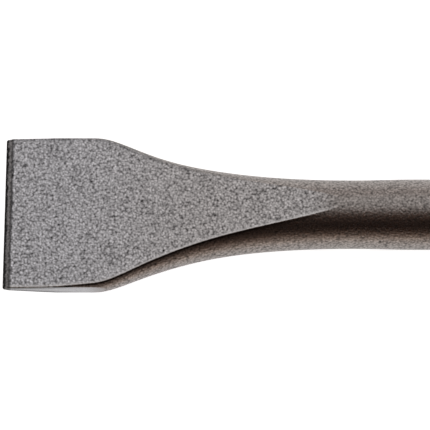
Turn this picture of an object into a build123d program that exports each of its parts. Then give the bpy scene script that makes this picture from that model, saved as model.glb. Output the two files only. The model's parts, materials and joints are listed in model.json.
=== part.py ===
from build123d import *
from math import acos, asin, atan2, degrees, hypot, sqrt
import os

# Flat chisel with a slotted 18 mm hammer-drill shank, forged from one round bar.
# The axis runs along X with the cutting edge at the low end. The chisel lies as it rests on a
# floor at Z = 0: on its bar, rolled until one edge of the blade touches the floor too.

# Bar
length = 280.0
bar_radius = 9.0
neck_relief = 0.23  # by how much the forging has drawn the neck in
neck_station = 87.5  # from the cutting edge, like every station below
neck_return = 14.2  # length over which the neck grows back to the bar

# Outline of the forged blank, seen square to its flats
shoulder_station = 24.4
shoulder_pull = 7.3  # how far the outline keeps its direction past the shoulder
neck_pull = 45.3  # and how far before the neck

# Ground faces
blade_width = 41.2
side_stock = 0.47  # what grinding takes off each side of the blank
flats_end_station = 86.8
bevel_length = 1.67
bevel_thickness = 2.0
edge_thickness = 0.25

# Shank
end_chamfer = 1.5
lock_radius = 5.0
lock_depth = 2.5
lock_start = 26.0  # from the struck end, like the drive grooves
lock_end = 56.0
drive_depth = 2.1
drive_length = 62.0
cutter_radius = 25.0
wide_drive_width = 6.4
narrow_drive_width = 4.4
narrow_drive_spread = 60.0  # angle between the two narrow grooves

# How finely the forging and its resting place are worked out
flare_sections = 16
resting_samples = 200

# Outline of one side of the blank, from the shoulder to the neck
neck_radius = bar_radius - neck_relief
blank_half_width = blade_width / 2 + side_stock
with BuildLine() as outline:
    flare = Bezier(
        (shoulder_station, blank_half_width),
        (shoulder_station + shoulder_pull, blank_half_width),
        (neck_station - neck_pull, neck_radius),
        (neck_station, neck_radius),
    )

# Rest: the least roll that brings a lower edge of the flats down to the floor
flat_slope = (neck_radius - bevel_thickness / 2) / (flats_end_station - bevel_length)
touching_rolls = []
for i in range(resting_samples):
    point = flare @ (i / resting_samples)
    height = bevel_thickness / 2 + flat_slope * (point.X - bevel_length)
    if height < neck_radius:
        width = min(point.Y * sqrt(1 - (height / neck_radius) ** 2), blade_width / 2)
        if hypot(width, height) > bar_radius:
            touching_rolls.append(asin(bar_radius / hypot(width, height)) - atan2(height, width))
roll = degrees(min(touching_rolls))

# Forging, with its flats facing up and down
with BuildPart() as forging:
    # Round bar with a chamfered end
    bar_station = neck_station + neck_return
    with BuildSketch(Plane.YZ.offset(bar_station)):
        Circle(bar_radius)
    extrude(amount=length - bar_station)
    chamfer(forging.faces().sort_by(Axis.X)[-1].edges(), length=end_chamfer)

    # Drawn-in neck, round like the bar
    with BuildSketch(Plane.XY):
        with BuildLine():
            neck_line = Spline(
                (neck_station, neck_radius), (bar_station, bar_radius), tangents=((1, 0), (1, 0))
            )
            Polyline(neck_line @ 1, (bar_station, 0), (neck_station, 0), neck_line @ 0)
        make_face()
    revolve(axis=Axis.X)

    # Flare, through elliptical sections that widen but keep the neck's height
    for i in range(flare_sections + 1):
        point = flare @ (i / flare_sections)
        with BuildSketch(Plane.YZ.offset(point.X)):
            Ellipse(point.Y, neck_radius)
    loft()

    # Straight stretch between the shoulders and the cutting edge
    with BuildSketch(Plane.YZ.offset(shoulder_station)):
        Ellipse(blank_half_width, neck_radius)
    extrude(amount=-shoulder_station)

    # Long flats that run out on the neck, and the short bevels that make the edge
    bevel_slope = (bevel_thickness - edge_thickness) / 2 / bevel_length
    for side in (-1, 1):
        for slope in (flat_slope, bevel_slope):
            bevel_start = (bevel_length, 0, side * bevel_thickness / 2)
            split(bisect_by=Plane(bevel_start, z_dir=(-slope, 0, side)), keep=Keep.BOTTOM)

    # Parallel sides
    for side in (-1, 1):
        side_plane = Plane((0, side * blade_width / 2, 0), z_dir=(0, side, 0))
        split(bisect_by=side_plane, keep=Keep.BOTTOM)

    # Closed recesses that the machine's locking pieces drop into
    lock_offset = bar_radius + lock_radius - lock_depth
    lock_middle = length - (lock_start + lock_end) / 2
    lock_run = lock_end - lock_start - 2 * lock_radius
    for side in (-1, 1):
        with Locations((lock_middle, 0, side * lock_offset)):
            Cylinder(lock_radius, lock_run, rotation=(0, 90, 0), mode=Mode.SUBTRACT)
        for end in (-1, 1):
            with Locations((lock_middle + end * lock_run / 2, 0, side * lock_offset)):
                Sphere(lock_radius, mode=Mode.SUBTRACT)

    # Open drive grooves, with the run-out that a disc cutter leaves
    groove_floor = bar_radius - drive_depth
    run_out_angle = degrees(acos(1 - 2 * drive_depth / cutter_radius))
    past_end = length + drive_depth
    for angle, width in (
        (0, wide_drive_width),
        (180 - narrow_drive_spread / 2, narrow_drive_width),
        (180 + narrow_drive_spread / 2, narrow_drive_width),
    ):
        with BuildSketch(Plane.XY.rotated((angle, 0, 0))):
            with BuildLine():
                floor_end = (length - drive_length, groove_floor)
                run_out = JernArc(floor_end, (-1, 0), cutter_radius, -run_out_angle)
                mouth = (run_out @ 1).Y
                Polyline(run_out @ 1, (past_end, mouth), (past_end, groove_floor), floor_end)
            make_face()
        extrude(amount=width / 2, both=True, mode=Mode.SUBTRACT)

# The chisel at rest on the floor, cutting edge and shank end equally far from the origin
with BuildPart() as chisel:
    with Locations(Location((-length / 2, 0, bar_radius), (-roll, 0, 0))):
        add(forging.part)

chisel.part.label = "chisel"
os.makedirs("parts", exist_ok=True)
export_step(chisel.part, "parts/chisel.step")
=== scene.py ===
import json
import math

import bmesh
import bpy
import numpy as np
from bpy.props import FloatProperty, FloatVectorProperty, PointerProperty
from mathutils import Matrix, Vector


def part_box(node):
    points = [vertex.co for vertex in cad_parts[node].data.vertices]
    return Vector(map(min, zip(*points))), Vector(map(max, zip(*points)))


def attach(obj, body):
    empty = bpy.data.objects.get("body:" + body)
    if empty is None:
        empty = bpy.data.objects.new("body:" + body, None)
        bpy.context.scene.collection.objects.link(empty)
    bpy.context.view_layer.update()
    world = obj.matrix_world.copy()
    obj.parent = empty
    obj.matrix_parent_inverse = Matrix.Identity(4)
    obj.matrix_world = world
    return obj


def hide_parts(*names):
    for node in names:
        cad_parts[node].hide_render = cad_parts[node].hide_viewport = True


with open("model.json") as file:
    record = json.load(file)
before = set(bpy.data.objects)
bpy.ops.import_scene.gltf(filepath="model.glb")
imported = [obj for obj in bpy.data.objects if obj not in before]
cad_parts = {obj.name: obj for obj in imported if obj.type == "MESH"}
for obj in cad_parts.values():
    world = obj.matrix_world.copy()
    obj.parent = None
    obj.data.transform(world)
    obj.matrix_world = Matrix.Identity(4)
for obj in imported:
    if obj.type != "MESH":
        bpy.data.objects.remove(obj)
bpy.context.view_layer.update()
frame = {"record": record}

bl_info = {
    "name": "Flat Chisel",
    "version": (1, 0, 0),
    "blender": (4, 5, 0),
    "location": "3D View > Sidebar > Chisel",
    "description": "Builds a forged flat chisel with a grooved shank, and the studio around it",
    "category": "Add Mesh",
}

NODE = "chisel"
BODY = "root"


def packed_shank():
    """The bar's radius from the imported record's pin, and the length of the node's box."""
    pins = [mount for mount in frame["record"]["mounts"] if mount["kind"] == "pin"]
    low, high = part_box(NODE)
    return pins[0]["dims"]["r_mm"] / 1000, high.x - low.x


BAR_RADIUS, LENGTH = packed_shank()

# Sizes, colours and settings


def metres(name, description, default):
    """A setting that is a length."""
    return FloatProperty(name=name, description=description, default=default, unit="LENGTH")


def degrees(name, description, default):
    """A setting that is an angle."""
    return FloatProperty(
        name=name, description=description, default=math.radians(default), subtype="ANGLE")


def colour_setting(name, description, default):
    """A setting that is a colour."""
    return FloatVectorProperty(
        name=name, description=description, default=default, subtype="COLOR", min=0, max=1)


def share_setting(name, description, default):
    """A setting that is a share of 1."""
    return FloatProperty(name=name, description=description, default=default, min=0, max=1)


class ChiselSizes(bpy.types.PropertyGroup):
    """Sizes of the forging, its ground faces and its shank"""
    length: metres("Length", "From the cutting edge to the struck end", LENGTH)
    bar_radius: metres("Bar radius", "Radius of the round bar", BAR_RADIUS)
    neck_relief: metres("Neck relief", "How much the forging has drawn the neck in", 0.00024)
    neck_station: metres(
        "Neck station", "Where the flare has become round, from the edge", 0.0894)
    neck_return: metres("Neck return", "Length over which the neck grows back to the bar", 0.0142)
    shoulder_station: metres("Shoulder station", "Where the parallel stretch ends", 0.0228)
    shoulder_pull: metres(
        "Shoulder pull", "How far the outline keeps straight past the shoulder", 0.0106)
    neck_pull: metres(
        "Neck pull", "How far before the neck the outline lies along the bar", 0.0504)
    blade_width: metres("Blade width", "Width between the ground sides", 0.0412)
    side_stock: metres("Side stock", "What grinding takes off each side of the blank", 0.00047)
    flats_end: metres("Flats' end", "Where the long flats run out, from the edge", 0.0862)
    flats_bow: metres("Flats' bow", "How far the flats bow outwards near their run-out", 0.00015)
    bevel_length: metres("Bevel length", "Length of the short bevels", 0.00167)
    bevel_thickness: metres("Bevel thickness", "Thickness where the bevels start", 0.002)
    edge_thickness: metres("Edge thickness", "Thickness left at the cutting edge", 0.00025)
    edge_rounding: metres(
        "Edge rounding", "Radius that blasting leaves on the flats' edges", 0.00025)
    corner_rounding: metres(
        "Corner rounding", "Radius of the worn corners of the cutting edge", 0.0005)
    tip_set: metres("Tip set", "How far forging has set the tip to one side", 0.00019)
    flare_set: metres("Flare set", "How far forging has set the flare to the other side", 0.00021)
    end_chamfer: metres("End chamfer", "Chamfer around the struck end", 0.0015)
    lock_radius: metres("Recess radius", "Radius of the two closed recesses", 0.005)
    lock_depth: metres("Recess depth", "Depth of the closed recesses below the bar", 0.0025)
    lock_start: metres("Recess start", "Near end of the recesses, from the struck end", 0.026)
    lock_end: metres("Recess end", "Far end of the recesses, from the struck end", 0.056)
    drive_depth: metres("Groove depth", "Depth of the open drive grooves", 0.0021)
    drive_length: metres("Groove length", "Length of the grooves' level floor", 0.062)
    cutter_radius: metres(
        "Cutter radius", "Radius of the run-out that the disc cutter leaves", 0.025)
    wide_drive_width: metres("Wide groove", "Width of the single wide groove", 0.0064)
    narrow_drive_width: metres("Narrow grooves", "Width of the two narrow grooves", 0.0044)
    narrow_drive_spread: degrees(
        "Narrow grooves' spread", "Angle between the two narrow grooves", 60)


class ChiselFinish(bpy.types.PropertyGroup):
    """Colours and surface textures of the steel"""
    flat_colour: colour_setting("Flats", "Blasted steel of the long flats", (0.438, 0.434, 0.452))
    round_colour: colour_setting(
        "Round surfaces", "Blasted steel of the bar and the flare", (0.298, 0.280, 0.277))
    bar_tint: colour_setting(
        "Bar's tint", "Tint that the steel takes on behind the blade", (0.93, 0.90, 0.86))
    edge_colour: colour_setting(
        "Worn edges", "Steel that shows on the rounded edges", (0.66, 0.645, 0.64))
    pit_colour: colour_setting(
        "Pits", "Scale left at the bottom of the pits", (0.12, 0.108, 0.10))
    ground_colour: colour_setting(
        "Ground faces", "Ground steel of the bevels and the blade's sides", (0.61, 0.615, 0.64))
    turned_colour: colour_setting(
        "Struck end", "Turned steel of the struck end", (0.42, 0.41, 0.40))
    grain_size: metres("Grain size", "Size of the dimples that blasting leaves", 0.0005)
    grain_depth: metres("Grain depth", "Depth of the dimples", 0.00005)
    pit_share: share_setting("Pits' share", "Share of the places for pits that have one", 0.07)


class StudioSettings(bpy.types.PropertyGroup):
    """Camera, lamp and floor of the studio"""
    target: FloatVectorProperty(
        name="Target", description="Point that the camera looks at",
        default=(-0.08622, -0.000078, 0.009), subtype="TRANSLATION")
    camera_distance: metres(
        "Camera distance", "From the camera to the point that it looks at", 0.74)
    camera_tilt: degrees("Camera tilt", "How far the camera leans away from straight down", 4.555)
    view_width: metres("View width", "Width that the picture takes in at that point", 0.10995)
    lamp_power: FloatProperty(
        name="Lamp power", description="Power of the soft lamp", default=25.5, unit="POWER")
    lamp_lean: degrees("Lamp lean", "Angle between the lamp and straight up", 43)
    lamp_distance: metres("Lamp distance", "From the lamp to the middle of the floor", 2.6)
    lamp_length: metres("Lamp length", "Size of the lamp along the chisel", 3.0)
    lamp_height: metres("Lamp height", "Size of the lamp across the chisel", 3.2)
    shade_colour: colour_setting(
        "Shade", "Colour of the room's walls across the chisel", (0.008, 0.001, 0.0))
    warm_colour: colour_setting(
        "Warm shade", "Colour of the room's ceiling and of its walls' foot", (0.21, 0.082, 0.03))
    end_colour: colour_setting(
        "Ends", "Colour of the room beyond the chisel's two ends", (0.42, 0.385, 0.36))
    floor_colour: colour_setting("Floor", "Colour of the studio's sweep", (0.85, 0.85, 0.85))
    far_floor_colour: colour_setting(
        "Far floor", "Colour of the floor's far part as the steel mirrors it", (0.93, 0.77, 0.64))
    floor_glow: share_setting("Floor glow", "Brightness that the camera sees in the floor", 0.93)
    steel_share: share_setting(
        "Steel's share", "Share of that brightness that the steel mirrors", 0.85)


# Shape of the chisel. Every length is in metres and every station counts from the cutting edge.

# How finely the surface is divided
HALF_RING = 64
CORNER_POINTS, ROUND_POINTS, SIDE_POINTS = 14, 48, 12
TURNING_SHARE = 0.38  # share of a section's points that are spread by its turning
CURVE_POINTS = 600
RESTING_POINTS = 400
FLAT_COLUMNS = 33
BEVEL_ROWS, BLADE_ROWS, NECK_ROWS, BAR_ROWS, SLOT_ROWS, CHAMFER_ROWS = 9, 141, 31, 38, 170, 6
END_ROWS = 9
NEAR = 1e-7
MERGE_DISTANCE = 1e-6
THIN_ROUNDING = 0.4  # the edge rounding's limit, as a share of half the blade's thickness
SHARP_ANGLE = math.radians(32)

# The forging's set: how far the tip's reaches, and where the flare's lies and how far it reaches
TIP_REACH = 0.008
FLARE_PLACE, FLARE_REACH = 0.041, 0.0108

# Slots of the shank
RECESS, WIDE_GROOVE, NARROW_GROOVE = 1, 2, 3
RECESS_ROUNDING, GROOVE_ROUNDING = 0.00025, 0.0003
WALL_SLOPE = 8

# Two attributes that the surface carries: the flats' edges, worn with a painted highlight and
# with painted shade under them and along the lower side, and how much of the flats' finish
# there is
EDGE_WEAR_AND_PAINTED_LIGHT, FLAT_FINISH = "edge_wear_and_painted_light", "flat_finish"
FINISH_FADE = 0.009  # length over which the flats' finish fades in from their run-out
LOW_EDGE_END, LOW_EDGE_FADE = 0.078, 0.05  # where the painted shade along the lower side's edges is gone, and over what length it fades
LOW_EDGE_PAINTED_SHADE, EDGE_PAINTED_SHADE_WIDTH = 0.45, 0.0004  # painted shade that the mark lays on the flat itself, along its lower side's edge
# width of the flats' worn edge, which carries a painted highlight
WORN_HIGHLIGHT_WIDTH = 0.00012
# painted shade under the flats' edges: a dark line a little way down, and a wide fainter shade
PAINTED_SHADE_LINE, PAINTED_SHADE_LINE_DEPTH, PAINTED_SHADE_LINE_WIDTH = 0.47, 0.0002, 0.00026
UNDER_EDGE_PAINTED_SHADE, UNDER_EDGE_PAINTED_SHADE_WIDTH = 0.53, 0.0011


def smooth_step(value):
    """0 below 0 and 1 above 1, and three squares less two cubes of the value between."""
    value = np.clip(value, 0, 1)
    return value * value * (3 - 2 * value)


def bell(distance, width):
    """1 at no distance, and e to the power of minus the square of distance over width."""
    return np.exp(-(distance / width) ** 2)


def flare_half_width(stations, sizes):
    """Half-width of the blank: level to the shoulder, then a cubic Bezier curve to the neck."""
    blank = sizes.blade_width / 2 + sizes.side_stock
    neck = sizes.bar_radius - sizes.neck_relief
    u = np.linspace(0, 1, CURVE_POINTS)
    weights = np.stack([(1 - u) ** 3, 3 * u * (1 - u) ** 2, 3 * u * u * (1 - u), u ** 3])
    along = np.array([
        sizes.shoulder_station,
        sizes.shoulder_station + sizes.shoulder_pull,
        sizes.neck_station - sizes.neck_pull,
        sizes.neck_station])
    across = np.array([blank, blank, neck, neck])
    return np.interp(stations, along @ weights, across @ weights)


def neck_radius(stations, sizes):
    """Radius of the bar: drawn in by the relief up to the neck, then a smooth step back out."""
    back = smooth_step((stations - sizes.neck_station) / sizes.neck_return)
    return sizes.bar_radius - sizes.neck_relief * (1 - back)


def flat_half_thickness(stations, sizes):
    """Half the thickness between the flats: a straight line for the bevel, one for the flats.

    The flats bow out from their line by a sine wave over the fourth power of the share of
    their length, so that most of the bow lies near their run-out.
    """
    neck = sizes.bar_radius - sizes.neck_relief
    share = (stations - sizes.bevel_length) / (sizes.flats_end - sizes.bevel_length)
    bow = sizes.flats_bow * np.sin(math.pi * np.clip(share, 0, 1) ** 4)
    return bow + np.interp(
        stations,
        (0, sizes.bevel_length, sizes.flats_end, sizes.flats_end + sizes.neck_relief),
        (sizes.edge_thickness / 2, sizes.bevel_thickness / 2, neck, sizes.bar_radius))


def resting_roll(sizes):
    """Angle that the chisel rolls on its bar until one lower edge of its flats meets the floor.

    An edge at (width, height) from the axis meets it at the arcsine of the bar's radius over
    the edge's distance from the axis, less the edge's own angle. The least such angle holds.
    """
    stations = np.linspace(sizes.shoulder_station, sizes.neck_station, RESTING_POINTS)
    neck = sizes.bar_radius - sizes.neck_relief
    height = flat_half_thickness(stations, sizes)
    narrowing = np.sqrt(np.clip(1 - (height / neck) ** 2, 0, 1))
    width = np.minimum(flare_half_width(stations, sizes) * narrowing, sizes.blade_width / 2)
    reach = np.hypot(width, height)
    touching = (height < neck) & (reach > sizes.bar_radius)
    rolls = np.arcsin(sizes.bar_radius / reach[touching])
    return float(np.min(rolls - np.arctan2(height, width)[touching]))


def spread_rows(measure, values, count):
    """Reads each row of values at count + 1 even steps of its own measure, which runs 0 to 1."""
    rows = 2.0 * np.arange(len(measure))[:, None]
    wanted = np.linspace(0, 1, count + 1)[None, :] + rows
    read = np.interp(wanted.ravel(), (measure + rows).ravel(), values.ravel())
    return read.reshape(wanted.shape)


def finish_fade(stations, sizes):
    """How much of the flats' finish each station has: all on the blade, none at their run-out."""
    return smooth_step((sizes.flats_end - stations[:, None]) / FINISH_FADE)


def low_edge_fade(stations):
    """How strongly the painted shade along the lower side's edges shows: a smooth step down to
    the neck.
    """
    return smooth_step((LOW_EDGE_END - stations[:, None]) / LOW_EDGE_FADE)


def edge_wear_and_painted_light(travelled, corner_length):
    """1 on a flat's worn edge with its painted highlight, down to -1 in the painted shade under
    it.

    It is a bell curve on the edge, less one bell curve a little way down and less half of a
    wide one that starts where the edge's rounding ends.
    """
    past = travelled - corner_length
    line = PAINTED_SHADE_LINE * bell(past - PAINTED_SHADE_LINE_DEPTH, PAINTED_SHADE_LINE_WIDTH)
    shade = UNDER_EDGE_PAINTED_SHADE * bell(np.clip(past, 0, None), UNDER_EDGE_PAINTED_SHADE_WIDTH) * (past > 0)
    return bell(travelled, WORN_HIGHLIGHT_WIDTH) - (line + shade)


def quarter_sections(stations, sizes):
    """A quarter of each section, from the edge of the upper flat round to the side's middle.

    The section is an ellipse cut off by the flats and the ground sides. All three are drawn in
    by the edge rounding, and a circle of that radius is swept along what is left. The sides
    are also drawn in at the worn corners of the cutting edge, by a circle. The points are
    spread by a mix of the outline's length and the angle that it turns through. Gives y, z,
    the edge's wear and painted highlight less the painted shade under it, and the share of the
    flat's finish.
    """
    flat = flat_half_thickness(stations, sizes)[:, None]
    rounding = np.minimum(sizes.edge_rounding, THIN_ROUNDING * flat)
    height = neck_radius(stations, sizes)[:, None] - rounding
    flare = flare_half_width(stations, sizes)[:, None] - rounding
    width = np.where(stations[:, None] > sizes.neck_station, height, flare)
    flat = np.minimum(flat - rounding, height)
    to_corner = np.clip(sizes.corner_rounding - stations[:, None], 0, None)
    worn = sizes.corner_rounding - np.sqrt(sizes.corner_rounding ** 2 - to_corner ** 2)
    side = sizes.blade_width / 2 - worn - rounding
    top = np.arcsin(flat / height)
    low = np.arccos(np.clip(side / width, 0, 1))
    thin = top < low
    low = np.where(thin, top, low)

    corner, middle, level = (
        np.linspace(0, 1, count)[None, :]
        for count in (CORNER_POINTS, ROUND_POINTS, SIDE_POINTS))
    around = top + (low - top) * middle
    facing = np.arctan2(np.sin(around) / height, np.cos(around) / width)
    facing = np.where(thin, 0, facing)
    first, last = facing[:, :1], facing[:, -1:]
    upright = math.pi / 2
    turns = np.hstack([
        upright + (first - upright) * corner, facing, last * (1 - corner), last * (0 * level)])
    angles = np.hstack([top + 0 * corner, around, low + 0 * corner, low + 0 * level])
    drop = np.hstack([1 + 0 * corner, 1 + 0 * middle, 1 + 0 * corner, 1 - level])

    y = np.minimum(width * np.cos(angles), side) + rounding * np.cos(turns)
    z = height * np.sin(angles) * drop + rounding * np.sin(turns)
    length = np.hypot(np.diff(y, axis=1), np.diff(z, axis=1))
    turned = -np.diff(turns, axis=1)
    share = (1 - TURNING_SHARE) * length / length.sum(axis=1, keepdims=True)
    share = share + TURNING_SHARE * turned / turned.sum(axis=1, keepdims=True)
    start = np.zeros((len(stations), 1))
    measure = np.hstack([start, np.cumsum(share, axis=1)])
    travelled = np.hstack([start, np.cumsum(length, axis=1)])
    corner_length = travelled[:, CORNER_POINTS - 1][:, None]
    present = finish_fade(stations, sizes)
    tone = edge_wear_and_painted_light(travelled, corner_length) * present
    finish = np.clip(1 - travelled / np.maximum(corner_length, NEAR), 0, 1) * present
    return [spread_rows(measure, values, HALF_RING // 2) for values in (y, z, tone, finish)]


def shank_columns(sizes):
    """Where the shank's columns lie, for each half of the ring from its top to its bottom.

    Each part is a slot's direction, its columns' distances to the side of that slot's middle,
    and which slot it is. A bare number is a count of columns on the plain bar between two
    slots, which are spread evenly. The spacings are written in millimetres.
    """
    recess = np.array([0, 0.7, 1.4, 2.1, 2.7, 3.1, 3.4, 3.6, 3.75, 3.9, 4.05, 4.25, 4.5]) / 1000
    half = sizes.wide_drive_width / 2
    wall = np.array([0, 0.05, 0.1, 0.15, 0.2, 0.26, 0.4, 0.65, 1.0]) / 1000
    wide = np.concatenate([half * np.array([0, 0.25, 0.5, 0.72, 0.88, 0.96]), half + wall])
    wide = np.concatenate([wide[:0:-1], -wide])
    half = sizes.narrow_drive_width / 2
    wall = np.array([0, 0.07, 0.14, 0.2, 0.27, 0.55]) / 1000
    narrow = np.concatenate([half * np.array([0, 0.45, 0.85]), half + wall])
    narrow = np.concatenate([-narrow[:0:-1], narrow])
    spread = sizes.narrow_drive_spread / 2
    plus = [
        (math.pi / 2, -recess, RECESS), 5,
        (0.0, wide, WIDE_GROOVE), 5,
        (-math.pi / 2, recess[::-1], RECESS)]
    minus = [
        (math.pi / 2, recess, RECESS), 2,
        (math.pi - spread, narrow, NARROW_GROOVE), 1,
        (math.pi + spread, narrow, NARROW_GROOVE), 2,
        (3 * math.pi / 2, -recess[::-1], RECESS)]
    return plus, minus


def slot_height(stations, across, kind, sizes):
    """Height above the axis of what a slot leaves, at a distance to the side of its middle.

    A recess is a cylinder lying along the bar with a ball at each end. A groove is a level
    floor that runs out on the cutter's radius, between steep walls. The bar, or its chamfer, is
    a circle. The lower of slot and bar holds, with the edge between them rounded.
    """
    from_end = sizes.length - stations[:, None]
    bar = sizes.bar_radius - np.clip(sizes.end_chamfer - from_end, 0, None)
    bar = np.sqrt(bar ** 2 - across ** 2)
    if kind == RECESS:
        middle = (sizes.lock_start + sizes.lock_end) / 2
        straight = (sizes.lock_end - sizes.lock_start) / 2 - sizes.lock_radius
        past = np.clip(np.abs(from_end - middle) - straight, 0, None)
        inside = np.clip(sizes.lock_radius ** 2 - across ** 2 - past ** 2, 0, None)
        slot = sizes.bar_radius + sizes.lock_radius - sizes.lock_depth - np.sqrt(inside)
        rounding = RECESS_ROUNDING
    else:
        width = sizes.wide_drive_width if kind == WIDE_GROOVE else sizes.narrow_drive_width
        past = np.clip(from_end - sizes.drive_length, 0, sizes.cutter_radius)
        climb = sizes.cutter_radius - np.sqrt(sizes.cutter_radius ** 2 - past ** 2)
        wall = WALL_SLOPE * np.clip(np.abs(across) - width / 2, 0, None)
        slot = sizes.bar_radius - sizes.drive_depth + climb + wall
        rounding = GROOVE_ROUNDING
    blend = np.clip(rounding - np.abs(bar - slot), 0, None) / rounding
    return np.minimum(bar, slot) - blend ** 2 * rounding / 4


def shank_half(stations, parts, sizes):
    """Angles about the axis and distances from it of one half ring's columns."""
    columns = list(parts)
    for i, part in enumerate(parts):
        if not isinstance(part, int):
            direction, across, kind = part
            up = slot_height(stations, across[None, :], kind, sizes)
            columns[i] = np.stack([direction + np.arctan2(across, up), np.hypot(across, up)])
    for i, part in enumerate(parts):
        if isinstance(part, int):
            share = (np.arange(part) + 1) / (part + 1)
            before, after = columns[i - 1][..., -1:], columns[i + 1][..., :1]
            columns[i] = before + (after - before) * share
    return np.concatenate(columns, axis=-1)


def plain_bar(sizes):
    """Stations where the plain bar starts past the neck, and where the grooves run out on it."""
    end = sizes.length - sizes.drive_length - sizes.cutter_radius
    return sizes.neck_station + sizes.neck_return, end


def half_rings(stations, parts, side, sizes):
    """y and z of half rings from top to bottom on one side, +1 or -1, over the whole length.

    Up to the plain bar a half ring is a quarter section and its mirror image below. Past the
    grooves' run-out it is the slotted shank. Between the two, the points' angles slide from
    one spacing to the other while they stay on the round bar.
    """
    y, z, tone, finish = quarter_sections(stations, sizes)
    y, tone, finish = (np.hstack([v, v[:, -2::-1]]) for v in (y, tone, finish))
    y, z = side * y, np.hstack([z, -z[:, -2::-1]])
    angles, reaches = shank_half(stations, parts, sizes)
    even = math.pi / 2 - side * np.linspace(0, math.pi, HALF_RING + 1)[None, :]
    plain_start, plain_end = plain_bar(sizes)
    slide = smooth_step((stations - plain_start) / (plain_end - plain_start))[:, None]
    angles = even + (angles - even) * slide
    on_bar = (stations > plain_start)[:, None]
    y = np.where(on_bar, reaches * np.cos(angles), y)
    z = np.where(on_bar, reaches * np.sin(angles), z)
    return y, z, tone, finish


def station_rows(sizes):
    """Stations of the rows: close at the edge, even on the blade, wide apart on the plain bar."""
    bevel = sizes.bevel_length
    plain_start, plain_end = plain_bar(sizes)
    chamfer = sizes.length - sizes.end_chamfer
    rows = np.concatenate([
        sizes.corner_rounding * np.array([0.01, 0.04, 0.1, 0.2, 0.35, 0.6]),
        bevel * np.linspace(0, 1, BEVEL_ROWS),
        bevel * np.array([0.97, 1.03, 1.1, 1.3]),
        np.linspace(1.5 * bevel, sizes.flats_end, BLADE_ROWS),
        np.linspace(sizes.flats_end, plain_start, NECK_ROWS),
        np.linspace(plain_start, plain_end, BAR_ROWS),
        np.linspace(plain_end, chamfer, SLOT_ROWS),
        np.linspace(chamfer, sizes.length, CHAMFER_ROWS)])
    return np.unique(np.round(rows, 7))


def in_place(stations, y, z, sizes):
    """Turns stations and sections into points of the resting chisel.

    The forging's set is one bell curve at the tip, less another along the flare. The chisel
    is then rolled about its axis, and the axis lies the bar's radius above the floor.
    """
    roll = resting_roll(sizes)
    tip = sizes.tip_set * bell(stations, TIP_REACH)
    flare = sizes.flare_set * bell(stations - FLARE_PLACE, FLARE_REACH)
    y = y + tip - flare
    return np.stack([
        stations - sizes.length / 2 + 0 * y,
        y * math.cos(roll) + z * math.sin(roll),
        z * math.cos(roll) - y * math.sin(roll) + sizes.bar_radius], axis=-1)


def grid_quads(rows, columns, first):
    """Corner numbers of the quads of a grid whose points are numbered row by row."""
    corner = first + np.arange(rows - 1)[:, None] * columns + np.arange(columns - 1)[None, :]
    return np.stack([corner, corner + 1, corner + columns + 1, corner + columns], axis=-1)


def add_smooth_object(name, mesh, materials, outwards=False):
    """Merges a mesh's seams and poles, smooths it and adds it to the scene."""
    work = bmesh.new()
    work.from_mesh(mesh)
    bmesh.ops.remove_doubles(work, verts=work.verts, dist=MERGE_DISTANCE)
    if outwards:
        bmesh.ops.recalc_face_normals(work, faces=work.faces)
    for face in work.faces:
        face.smooth = True
    work.to_mesh(mesh)
    work.free()
    for material in materials:
        mesh.materials.append(material)
    piece = bpy.data.objects.new(name, mesh)
    bpy.context.scene.collection.objects.link(piece)
    return piece


class Surface:
    """Grids of points collected into one mesh, each with its finishes and its material."""

    def __init__(self):
        self.points, self.quads, self.materials, self.tones, self.finishes = [], [], [], [], []

    def add(self, points, materials, tone=0, finish=0):
        """Adds a grid of points; materials has one number for each of its quads."""
        shape = points.shape[:2]
        quads = grid_quads(*shape, sum(len(grid) for grid in self.points))
        self.points.append(points.reshape(-1, 3))
        self.quads.append(quads.reshape(-1, 4))
        self.materials.append(np.broadcast_to(materials, quads.shape[:2]).ravel())
        self.tones.append(np.broadcast_to(tone, shape).ravel())
        self.finishes.append(np.broadcast_to(finish, shape).ravel())

    def to_object(self, name, materials):
        """Makes a mesh of the grids, with its faces turned outwards, and its object."""
        mesh = bpy.data.meshes.new(name)
        mesh.from_pydata(np.concatenate(self.points), [], np.concatenate(self.quads))
        materials_used = np.concatenate(self.materials).astype(np.int32)
        mesh.polygons.foreach_set("material_index", materials_used)
        for label, values in ((EDGE_WEAR_AND_PAINTED_LIGHT, self.tones), (FLAT_FINISH, self.finishes)):
            layer = mesh.attributes.new(label, "FLOAT", "POINT")
            layer.data.foreach_set("value", np.concatenate(values).astype(np.float32))
        piece = add_smooth_object(name, mesh, materials, outwards=True)
        mesh.set_sharp_from_angle(angle=SHARP_ANGLE)
        return piece


BLASTED, GROUND, TURNED = 0, 1, 2


def flat_share():
    """Where a flat's columns lie between its edges, from -1 to 1, by the sine of even angles."""
    return np.sin(np.linspace(-math.pi / 2, math.pi / 2, FLAT_COLUMNS))[None, :]


def add_half_ring(surface, stations, parts, side, sizes):
    """Adds the round surfaces and the ground side of one half, and gives its y and z."""
    y, z, tone, finish = half_rings(stations, parts, side, sizes)
    # on the lower side the edges keep only their painted shade, which fades out towards the neck
    if side > 0:
        tone = np.minimum(tone, 0) * low_edge_fade(stations)
    middles = (stations[1:] + stations[:-1])[:, None] / 2
    across = (np.abs(y[1:, 1:]) + np.abs(y[:-1, :-1])) / 2
    ground = across > sizes.blade_width / 2 - 2 * MERGE_DISTANCE
    ground = ground | (middles < sizes.bevel_length)
    turned = middles > sizes.length - sizes.end_chamfer
    materials = np.where(turned, TURNED, np.where(ground, GROUND, BLASTED))
    surface.add(in_place(stations[:, None], y, z, sizes), materials, tone, finish)
    return y, z


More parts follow.
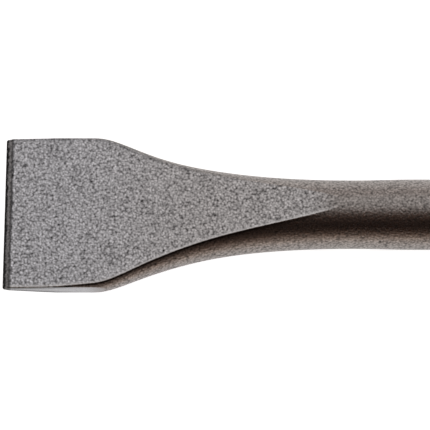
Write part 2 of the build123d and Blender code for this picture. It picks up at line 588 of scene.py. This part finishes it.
def add_flats(surface, stations, y, z, sizes):
    """Adds the upper and the lower flat between the edges of a half whose y and z are given."""
    blade = stations <= sizes.flats_end + NEAR
    stations, y, z = stations[blade], y[blade], z[blade]
    share = flat_share()
    rim = y[:, :1]
    from_rim = rim * (1 - np.abs(share))
    present = finish_fade(stations, sizes)
    # the flats' edges: wear with a painted highlight along one rim, painted shade along the other
    low_painted_shade = -LOW_EDGE_PAINTED_SHADE * low_edge_fade(stations)
    tone = bell(from_rim, EDGE_PAINTED_SHADE_WIDTH) * np.where(share < 0, present, low_painted_shade)
    middles = (stations[1:] + stations[:-1])[:, None] / 2
    materials = np.where(middles < sizes.bevel_length, GROUND, BLASTED)
    for column in (0, -1):
        points = in_place(stations[:, None], rim * share, z[:, column][:, None], sizes)
        surface.add(points, materials, tone, present)


def add_edge_face(surface, stations, y, z, sizes):
    """Adds the narrow face of the cutting edge, from its upper outline to its lower one."""
    upper = HALF_RING // 2 + 1
    share = flat_share()[0][1:-1]
    outline_y = np.concatenate([-y[0][:upper][::-1], y[0][0] * share, y[0][:upper]])
    outline_z = np.concatenate([z[0][:upper][::-1], 0 * share + z[0][0], z[0][:upper]])
    face_y = np.stack([outline_y, outline_y, outline_y])
    face_z = np.stack([outline_z, 0 * outline_z, -outline_z])
    surface.add(in_place(stations[:1, None], face_y, face_z, sizes), GROUND)


def chisel_surface(sizes):
    """The whole chisel: two half rings, the two flats, the edge's face and the struck end."""
    surface = Surface()
    stations = station_rows(sizes)
    halves = [
        add_half_ring(surface, stations, parts, side, sizes)
        for side, parts in zip((1, -1), shank_columns(sizes))]
    add_flats(surface, stations, *halves[0], sizes)
    add_edge_face(surface, stations, *halves[0], sizes)
    inwards = np.linspace(1, 0, END_ROWS)[:, None]
    for half in halves:
        y, z = (values[-1][None, :] * inwards for values in half)
        surface.add(in_place(stations[-1:, None], y, z, sizes), TURNED)
    return surface


# Shader helpers


def add_node(tree, kind, inputs=(), **settings):
    """Adds a shader node. An input given as a socket is linked, and any other value is set."""
    node = tree.nodes.new("ShaderNode" + kind)
    for name, value in settings.items():
        setattr(node, name, value)
    for key, value in dict(inputs).items():
        if isinstance(value, bpy.types.NodeSocket):
            tree.links.new(value, node.inputs[key])
        else:
            node.inputs[key].default_value = value
    return node


def calculate(tree, operation, *values, clamp=False):
    """Result of a Math node on up to three sockets or numbers."""
    node = add_node(tree, "Math", dict(enumerate(values)), operation=operation, use_clamp=clamp)
    return node.outputs[0]


def multiply(tree, first, second, added=0.0, clamp=False):
    """Product of two values, with a third one added."""
    return calculate(tree, "MULTIPLY_ADD", first, second, added, clamp=clamp)


def rescale(tree, value, low, high, to_low=0.0, to_high=1.0):
    """Maps a value from one range to another, smoothly, and holds it at the ends."""
    node = add_node(
        tree, "MapRange",
        {"Value": value, "From Min": low, "From Max": high, "To Min": to_low, "To Max": to_high},
        interpolation_type="SMOOTHSTEP")
    return node.outputs["Result"]


def mix_colours(tree, share, first, second, blend="MIX"):
    """Blends two colours by a share."""
    inputs = {0: share, 6: first, 7: second}
    return add_node(tree, "Mix", inputs, data_type="RGBA", blend_type=blend).outputs[2]


def multiply_colours(tree, first, second):
    """Multiplies two colours."""
    return mix_colours(tree, 1.0, first, second, "MULTIPLY")


def opaque(colour, level=1.0):
    """A colour brought to a level, with full alpha, as a node's socket takes it."""
    return (*(level * value for value in colour), 1.0)


def noise(tree, place, scale, detail, **inputs):
    """Value of a noise texture."""
    inputs = {"Vector": place, "Scale": scale, "Detail": detail, **inputs}
    return add_node(tree, "TexNoise", inputs).outputs[0]


def along_fade(tree, place, start, end, most=1.0):
    """A smooth step from 0 at one station to its most at another."""
    along = add_node(tree, "SeparateXYZ", {0: place}).outputs["X"]
    return rescale(tree, along, start - LENGTH / 2, end - LENGTH / 2, 0.0, most)


def shader_group(name, numbers, outputs):
    """A node group that takes a vector and numbers, with its inner sockets for both ends."""
    tree = bpy.data.node_groups.new(name, "ShaderNodeTree")
    tree.interface.new_socket("Vector", in_out="INPUT", socket_type="NodeSocketVector")
    for label, default in numbers.items():
        socket = tree.interface.new_socket(label, in_out="INPUT", socket_type="NodeSocketFloat")
        socket.default_value = default
    for label in outputs:
        tree.interface.new_socket(label, in_out="OUTPUT", socket_type="NodeSocketFloat")
    given = tree.nodes.new("NodeGroupInput").outputs
    return tree, given, tree.nodes.new("NodeGroupOutput").inputs


NOISE_RANGE = (0.3, 0.7)  # where most of a noise's values lie

# Scales of the grain's other textures, as shares of its own, and how far each moves the grain
DIMPLE_SCALE, SPECK_SCALE, PIT_SCALE = 0.72, 2.3, 0.22
GRAIN_LEVEL, CLOUD_SPAN, DIMPLE_SPAN, SPECK_SPAN, PIT_SPAN = 0.45, 1.2, 1.15, 0.08, 1.2
PIT_RIM, PIT_FLOOR = 0.14, 0.03  # distances from a pit's middle, in cells of its texture


def grain_group():
    """Blasted grain: close dimples in cloudy, faintly speckled steel, and a few wider pits.

    Grain is a level plus a noise, less the distance to the nearest point of a Voronoi pattern,
    plus the specks of a finer noise. Pits are small discs at some of the points of a wide
    Voronoi pattern. Height, for bumps, is the grain less the pits.
    """
    tree, given, result = shader_group(
        "Blasted grain", {"Scale": 1000.0, "Pit Share": 0.2}, ["Grain", "Pits", "Height"])
    dimple_scale, speck_scale, pit_scale = (
        multiply(tree, given["Scale"], share)
        for share in (DIMPLE_SCALE, SPECK_SCALE, PIT_SCALE))
    place = given["Vector"]
    cloud = noise(tree, place, given["Scale"], 0.0)
    dimples = add_node(tree, "TexVoronoi", {"Vector": place, "Scale": dimple_scale})
    specks = rescale(tree, noise(tree, place, speck_scale, 1.0, Distortion=0.6), *NOISE_RANGE)
    grain = multiply(tree, cloud, CLOUD_SPAN, GRAIN_LEVEL)
    grain = multiply(tree, dimples.outputs["Distance"], -DIMPLE_SPAN, grain)
    grain = multiply(tree, specks, SPECK_SPAN, grain)
    cells = add_node(tree, "TexVoronoi", {"Vector": place, "Scale": pit_scale})
    chance = add_node(tree, "SeparateColor", {0: cells.outputs["Color"]}).outputs[0]
    chosen = calculate(tree, "LESS_THAN", chance, given["Pit Share"])
    disc = rescale(tree, cells.outputs["Distance"], PIT_RIM, PIT_FLOOR)
    pits = multiply(tree, disc, chosen)
    height = multiply(tree, pits, -PIT_SPAN, grain)
    for label, value in (("Grain", grain), ("Pits", pits), ("Height", height)):
        tree.links.new(value, result[label])
    return tree


# The wider noise of the cutting lines, and the range that holds most of the two noises' sum
WIDE_SCALE, WIDE_SHARE, LINES_RANGE = 0.3, 0.5, (0.45, 1.05)


def lines_group():
    """Fine cutting lines: a noise and a share of a wider one, to be drawn out along an axis."""
    tree, given, result = shader_group("Cutting lines", {"Scale": 1.0}, ["Lines"])
    fine = noise(tree, given["Vector"], given["Scale"], 4.0, Roughness=0.7)
    wide_scale = multiply(tree, given["Scale"], WIDE_SCALE)
    wide = noise(tree, given["Vector"], wide_scale, 2.0)
    lines = multiply(tree, wide, WIDE_SHARE, fine)
    tree.links.new(rescale(tree, lines, *LINES_RANGE), result["Lines"])
    return tree


MILLIMETRES = 1000.0  # in a metre

# Distance from the cutting edge in millimetres, and the brightness there
EDGE_MARKS = (
    (0.0, 0.4), (0.12, 0.06), (0.46, 0.06), (0.68, 0.42), (0.95, 0.76), (1.2, 0.62),
    (1.45, 0.38), (1.62, 0.28), (1.86, 0.34), (2.08, 0.78), (2.32, 1.25), (2.62, 1.12),
    (3.1, 1.0))
RAMP_LEVEL = 0.5  # a ramp's colours end at 1, so it holds the tones at this level
WAVER, WAVER_SCALE = 1.1, 900.0  # how far the marks waver in millimetres
MOTTLE, MOTTLE_SCALE = 4.4, 1900.0
MOTTLE_END, MOTTLE_FADE = 2.0, 1.4  # where the mottle ends, and where it starts to fade


def edge_marks_group():
    """Dark and bright bands along the cutting edge, as a tone to multiply by.

    The tone follows the distance from the edge in millimetres, which a noise moves to and fro:
    a dark line on the edge, paler steel, a dark line where the bevel ends and a bright one past
    it. A second noise mottles the bevel.
    """
    tree, given, result = shader_group("Edge marks", {}, ["Tone"])
    along = add_node(tree, "SeparateXYZ", {0: given["Vector"]}).outputs["X"]
    station = multiply(tree, along, MILLIMETRES, MILLIMETRES * LENGTH / 2)
    waver = noise(tree, given["Vector"], WAVER_SCALE, 2.0)
    waver = multiply(tree, waver, WAVER, -WAVER / 2)
    station = calculate(tree, "ADD", station, waver)
    last = EDGE_MARKS[-1][0]
    ramp = add_node(tree, "ValToRGB", {"Fac": calculate(tree, "DIVIDE", station, last)})
    stops = ramp.color_ramp.elements
    for index, (distance, tone) in enumerate(EDGE_MARKS):
        stop = stops[index] if index < 2 else stops.new(distance / last)
        stop.position = distance / last
        stop.color = opaque([tone] * 3, RAMP_LEVEL)
    mottle = calculate(tree, "SUBTRACT", noise(tree, given["Vector"], MOTTLE_SCALE, 1.0), 0.5)
    near = rescale(tree, station, MOTTLE_END, MOTTLE_FADE, 0.0, MOTTLE)
    mottle = multiply(tree, mottle, near, 1 / RAMP_LEVEL)
    tone = multiply(tree, ramp.outputs["Color"], mottle)
    tree.links.new(tone, result["Tone"])
    return tree


def new_material(name):
    """A metallic material, with its node tree, its Principled shader and its coordinates."""
    material = bpy.data.materials.new(name)
    material.use_nodes = True
    tree = material.node_tree
    shader = tree.nodes["Principled BSDF"]
    shader.inputs["Metallic"].default_value = 1.0
    return material, tree, shader, add_node(tree, "TexCoord").outputs["Object"]


def finish_shader(tree, shader, colour, texture, roughness, height, depth):
    """Gives a shader its colour, a roughness that a texture lessens, and a bump."""
    tree.links.new(colour, shader.inputs["Base Color"])
    rough = multiply(tree, texture, -GLOSS, roughness)
    tree.links.new(rough, shader.inputs["Roughness"])
    bump = add_node(tree, "Bump", {"Height": height, "Distance": depth})
    tree.links.new(bump.outputs[0], shader.inputs["Normal"])


def attribute(tree, name):
    """A float attribute of the mesh."""
    return add_node(tree, "Attribute", attribute_name=name).outputs["Fac"]


def marks_and_painted_shade(tree, place, colour, edge_marks):
    """Lays the cutting edge's marks, and the painted shade under the flats' edges, on a colour.
    """
    marks = add_node(tree, "Group", {"Vector": place}, node_tree=edge_marks)
    colour = multiply_colours(tree, colour, marks.outputs["Tone"])
    # painted shade: where the edge attribute is below 0 it darkens the colour
    tone = calculate(tree, "MINIMUM", attribute(tree, EDGE_WEAR_AND_PAINTED_LIGHT), 0.0)
    tone = multiply(tree, tone, PAINTED_SHADE_DARKNESS, 1.0)
    return multiply_colours(tree, colour, tone)


def stretched_lines(tree, place, scale, lines):
    """The cutting lines, drawn out along the axis that is scaled least."""
    stretched = add_node(tree, "Mapping", {"Vector": place, "Scale": scale}).outputs[0]
    return add_node(tree, "Group", {"Vector": stretched}, node_tree=lines).outputs["Lines"]


def rubbed_shank(finish, tree, place, colour, lines):
    """Brightens streaks along the shank, where the tool holder has rubbed it."""
    streaks = stretched_lines(tree, place, STREAK_SCALE, lines)
    streaks = rescale(tree, streaks, *STREAK_RANGE, 0.0, STREAK_SHARE)
    share = multiply(tree, streaks, along_fade(tree, place, *RUBBED_SHANK))
    return mix_colours(tree, share, colour, opaque(finish.edge_colour))


# Stations between which a finish fades in
BAR_TINT = (0.01, 0.055)
RUBBED_SHANK = (0.185, 0.21)
STRIP_END = (0.0205, 0.0255)

# How strongly the finishes, the painted shade and the worn edges' painted highlight show
PAINTED_SHADE_DARKNESS, WORN_HIGHLIGHT_BRIGHTNESS, STRIP_END_SHARE = 0.97, 0.85, 0.8
GRAIN_SPAN, FLAT_GRAIN_SPAN = 0.92, 0.15  # the grain's contrast, and what the flats add to it
BUMP_SHARE, FLAT_BUMP_SHARE = 0.65, 0.25
ROUGHNESS, FLAT_ROUGHNESS = 0.44, 0.04
GLOSS = 0.1  # how much smoother the high spots of the grain and the lines are
GROUND_LEVEL, GROUND_ROUGHNESS, GROUND_DEPTH = 0.55, 0.42, 0.000006
TURNED_LEVEL, TURNED_ROUGHNESS, TURNED_DEPTH = 0.42, 0.4, 0.00001
STREAK_SCALE, STREAK_RANGE, STREAK_SHARE = (70, 1700, 1700), (0.5, 0.95), 0.75
GROUND_SCALE, RING_SCALE = (9000, 500, 9000), (5000, 1, 1)
WORN_RIM, WORN_MIDDLE = 0.0075, 0.0045  # radii between which the struck end grows worn
BLOW_SCALE, BLOW_SHARES = 420.0, (0.1, 0.6)


def blasted_steel(finish, grain, edge_marks, lines):
    """Blasted forging: grainy, lighter on the flats, rubbed bright along the shank, its edges
    worn with a painted highlight and with painted shade under them.
    """
    material, tree, shader, place = new_material("blasted_steel")
    texture = add_node(tree, "Group", {"Vector": place}, node_tree=grain)
    texture.inputs["Scale"].default_value = 1 / finish.grain_size
    texture.inputs["Pit Share"].default_value = finish.pit_share
    grain = texture.outputs["Grain"]
    flat = attribute(tree, FLAT_FINISH)
    colour = mix_colours(tree, flat, opaque(finish.round_colour), opaque(finish.flat_colour))
    tint = along_fade(tree, place, *BAR_TINT)
    colour = mix_colours(tree, tint, colour, opaque(finish.bar_tint), "MULTIPLY")
    span = multiply(tree, flat, FLAT_GRAIN_SPAN, GRAIN_SPAN)
    shade = calculate(tree, "SUBTRACT", grain, 0.5)
    shade = multiply(tree, shade, span, 1.0)
    colour = multiply_colours(tree, colour, shade)
    # the flats' worn edge with its painted highlight, brightened towards the edge colour
    rubbed = multiply(tree, attribute(tree, EDGE_WEAR_AND_PAINTED_LIGHT), WORN_HIGHLIGHT_BRIGHTNESS, clamp=True)
    colour = mix_colours(tree, rubbed, colour, opaque(finish.edge_colour))
    colour = rubbed_shank(finish, tree, place, colour, lines)
    colour = marks_and_painted_shade(tree, place, colour, edge_marks)
    colour = mix_colours(tree, texture.outputs["Pits"], colour, opaque(finish.pit_colour))
    rough = multiply(tree, flat, FLAT_ROUGHNESS, ROUGHNESS)
    height = multiply(tree, flat, FLAT_BUMP_SHARE, BUMP_SHARE)
    height = multiply(tree, texture.outputs["Height"], height)
    finish_shader(tree, shader, colour, grain, rough, height, finish.grain_depth)
    return material


def ground_steel(finish, lines, edge_marks):
    """Ground faces: bright steel with fine lines along the edge, dull where the flare starts."""
    material, tree, shader, place = new_material("ground_steel")
    mark = stretched_lines(tree, place, GROUND_SCALE, lines)
    colour = mix_colours(
        tree, mark, opaque(finish.ground_colour, GROUND_LEVEL), opaque(finish.ground_colour))
    fading = along_fade(tree, place, *STRIP_END, STRIP_END_SHARE)
    colour = mix_colours(tree, fading, colour, opaque(finish.round_colour))
    colour = marks_and_painted_shade(tree, place, colour, edge_marks)
    finish_shader(tree, shader, colour, mark, GROUND_ROUGHNESS, mark, GROUND_DEPTH)
    return material


def turned_steel(finish, lines):
    """Struck end: turned rings about the chisel's axis, its middle worn bright by blows."""
    material, tree, shader, place = new_material("turned_steel")
    parts = add_node(tree, "SeparateXYZ", {0: place}).outputs
    height = calculate(tree, "SUBTRACT", parts["Z"], BAR_RADIUS)
    section = add_node(tree, "CombineXYZ", {"Y": parts["Y"], "Z": height}).outputs[0]
    radius = add_node(tree, "VectorMath", {0: section}, operation="LENGTH").outputs["Value"]
    rings = add_node(tree, "CombineXYZ", {"X": radius}).outputs[0]
    mark = stretched_lines(tree, rings, RING_SCALE, lines)
    colour = mix_colours(
        tree, mark, opaque(finish.turned_colour, TURNED_LEVEL), opaque(finish.turned_colour))
    worn = rescale(tree, noise(tree, place, BLOW_SCALE, 3.0), *NOISE_RANGE, *BLOW_SHARES)
    worn = multiply(tree, rescale(tree, radius, WORN_RIM, WORN_MIDDLE), worn)
    colour = mix_colours(tree, worn, colour, opaque(finish.edge_colour))
    finish_shader(tree, shader, colour, mark, TURNED_ROUGHNESS, mark, TURNED_DEPTH)
    return material


FAR_FLOOR = (-0.03, -0.13)  # across the chisel, between where the floor takes its far colour


def sweep_material(studio):
    """Pale floor: it takes shadows, and the camera and the steel see it nearly white.

    A glow is added for the camera's rays and, by a share, for the steel's. To those it is
    warmer far from the lamp.
    """
    material, tree, shader, place = new_material("studio_sweep")
    tree.nodes.remove(shader)
    matt = add_node(tree, "BsdfDiffuse", {"Color": opaque(studio.floor_colour)})
    path = add_node(tree, "LightPath").outputs
    mirrored = calculate(tree, "MAXIMUM", path["Is Glossy Ray"], path["Is Transmission Ray"])
    mirrored = multiply(tree, mirrored, studio.steel_share)
    seen = calculate(tree, "MAXIMUM", path["Is Camera Ray"], mirrored)
    strength = multiply(tree, seen, studio.floor_glow)
    across = add_node(tree, "SeparateXYZ", {0: place}).outputs["Y"]
    unseen = calculate(tree, "SUBTRACT", 1.0, path["Is Camera Ray"])
    far = multiply(tree, rescale(tree, across, *FAR_FLOOR), unseen)
    colour = mix_colours(tree, far, (1, 1, 1, 1), opaque(studio.far_floor_colour))
    glow = add_node(tree, "Emission", {"Color": colour, "Strength": strength})
    both = add_node(tree, "AddShader", {0: matt.outputs[0], 1: glow.outputs[0]})
    tree.links.new(both.outputs[0], tree.nodes["Material Output"].inputs["Surface"])
    return material


# Operators


class CHISEL_OT_add_forging(bpy.types.Operator):
    """Add the chisel's forging with its ground blade and its grooved shank"""
    bl_idname = "chisel.add_forging"
    bl_label = "Add Forging"

    def execute(self, context):
        sizes = context.scene.chisel_sizes
        finish = context.scene.chisel_finish
        grain, lines, edge_marks = grain_group(), lines_group(), edge_marks_group()
        materials = [
            blasted_steel(finish, grain, edge_marks, lines),
            ground_steel(finish, lines, edge_marks),
            turned_steel(finish, lines),
        ]
        piece = chisel_surface(sizes).to_object("chisel_forging", materials)
        open_edges = count_open_edges(piece.data)
        if open_edges:
            raise RuntimeError(f"the chisel's surface has {open_edges} open edges")
        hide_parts(NODE)
        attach(piece, BODY)
        return {"FINISHED"}


def count_open_edges(mesh):
    """Number of the mesh's edges that don't join exactly two faces."""
    uses = np.zeros(len(mesh.edges), np.int32)
    loops = np.zeros(len(mesh.loops), np.int32)
    mesh.loops.foreach_get("edge_index", loops)
    np.add.at(uses, loops, 1)
    return int(np.count_nonzero(uses != 2))


class CHISEL_OT_add_studio(bpy.types.Operator):
    """Add the pale sweep, the soft lamp and the camera"""
    bl_idname = "chisel.add_studio"
    bl_label = "Add Studio"

    def execute(self, context):
        studio = context.scene.chisel_studio
        add_sweep(studio)
        add_lamp(studio)
        add_camera(studio)
        context.scene.world = room_light(studio)
        context.scene.view_settings.view_transform = "Standard"
        return {"FINISHED"}


# Steps of the room's light, by the height of a direction and by its share along the chisel
WARM_FOOT, WARM_TOP, TOP_WARMTH = (0.55, 0.05), (0.9, 0.99), 0.45
ROOM_END = (0.55, 0.9)


def room_light(studio):
    """Light of the room: dark across the chisel, warm overhead and low down, pale at its ends."""
    world = bpy.data.worlds.new("studio_room")
    world.use_nodes = True
    tree = world.node_tree
    direction = add_node(tree, "TexCoord").outputs["Generated"]
    parts = add_node(tree, "SeparateXYZ", {0: direction}).outputs
    low = rescale(tree, parts["Z"], *WARM_FOOT)
    high = rescale(tree, parts["Z"], *WARM_TOP, 0.0, TOP_WARMTH)
    warm = calculate(tree, "MAXIMUM", low, high)
    colour = mix_colours(tree, warm, opaque(studio.shade_colour), opaque(studio.warm_colour))
    share = rescale(tree, calculate(tree, "ABSOLUTE", parts["X"]), *ROOM_END)
    colour = mix_colours(tree, share, colour, opaque(studio.end_colour))
    tree.links.new(colour, tree.nodes["Background"].inputs["Color"])
    return world


FLOOR_RADIUS, FLOOR_BEND = 3.4, 0.5
FLOOR_ROWS, BEND_ROWS, FLOOR_COLUMNS = 7, 13, 97


def add_sweep(studio):
    """The floor: a disc that is flat to its bend, then rises on a quarter circle all round."""
    turn = np.linspace(0, math.pi / 2, BEND_ROWS)[1:]
    level = np.linspace(0, FLOOR_RADIUS, FLOOR_ROWS)
    radius = np.concatenate([level, FLOOR_RADIUS + FLOOR_BEND * np.sin(turn)])[:, None]
    height = np.concatenate([0 * level, FLOOR_BEND * (1 - np.cos(turn))])[:, None]
    angle = np.linspace(0, 2 * math.pi, FLOOR_COLUMNS)[None, :]
    points = np.stack(
        [radius * np.cos(angle), radius * np.sin(angle), height + 0 * angle], axis=-1)
    mesh = bpy.data.meshes.new("studio_sweep")
    mesh.from_pydata(points.reshape(-1, 3), [], grid_quads(*points.shape[:2], 0).reshape(-1, 4))
    add_smooth_object("studio_sweep", mesh, [sweep_material(studio)])


def add_leaning(name, data, target, distance, lean):
    """Adds a lamp or a camera that looks at a point from above, leaning over towards -Y."""
    holder = bpy.data.objects.new(name, data)
    x, y, z = target
    holder.location = (x, y - distance * math.sin(lean), z + distance * math.cos(lean))
    holder.rotation_euler = (lean, 0, 0)
    bpy.context.scene.collection.objects.link(holder)
    return holder


def add_lamp(studio):
    """A large soft lamp, which leans over from the side where the blade touches the floor."""
    lamp = bpy.data.lights.new("soft_lamp", "AREA")
    lamp.shape = "RECTANGLE"
    lamp.size = studio.lamp_length
    lamp.size_y = studio.lamp_height
    lamp.energy = studio.lamp_power
    middle = (0.0, 0.0, 0.0)
    holder = add_leaning("soft_lamp", lamp, middle, studio.lamp_distance, -studio.lamp_lean)
    holder.visible_camera = False


def add_camera(studio):
    """A long lens nearly straight above the blade, with the picture's width set at its target."""
    lens = bpy.data.cameras.new("camera")
    lens.lens = lens.sensor_width * studio.camera_distance / studio.view_width
    bpy.context.scene.camera = add_leaning(
        "camera", lens, studio.target, studio.camera_distance, studio.camera_tilt)


class CHISEL_PT_sidebar(bpy.types.Panel):
    """Sizes, finishes and studio of the flat chisel"""
    bl_label = "Flat Chisel"
    bl_idname = "CHISEL_PT_sidebar"
    bl_space_type = "VIEW_3D"
    bl_region_type = "UI"
    bl_category = "Chisel"

    def draw(self, context):
        scene = context.scene
        for label, group in (
            ("Sizes", scene.chisel_sizes),
            ("Finish", scene.chisel_finish),
            ("Studio", scene.chisel_studio),
        ):
            box = self.layout.box()
            box.label(text=label)
            for name in group.bl_rna.properties.keys():
                if name not in ("rna_type", "name"):
                    box.prop(group, name)
        self.layout.operator(CHISEL_OT_add_forging.bl_idname)
        self.layout.operator(CHISEL_OT_add_studio.bl_idname)


CLASSES = (
    ChiselSizes, ChiselFinish, StudioSettings,
    CHISEL_OT_add_forging, CHISEL_OT_add_studio, CHISEL_PT_sidebar,
)


def register():
    for cls in CLASSES:
        bpy.utils.register_class(cls)
    bpy.types.Scene.chisel_sizes = PointerProperty(type=ChiselSizes)
    bpy.types.Scene.chisel_finish = PointerProperty(type=ChiselFinish)
    bpy.types.Scene.chisel_studio = PointerProperty(type=StudioSettings)


def unregister():
    del bpy.types.Scene.chisel_studio
    del bpy.types.Scene.chisel_finish
    del bpy.types.Scene.chisel_sizes
    for cls in reversed(CLASSES):
        bpy.utils.unregister_class(cls)


def main():
    """Builds the chisel and its studio."""
    register()
    bpy.ops.chisel.add_forging()
    bpy.ops.chisel.add_studio()


if __name__ == "__main__":
    main()
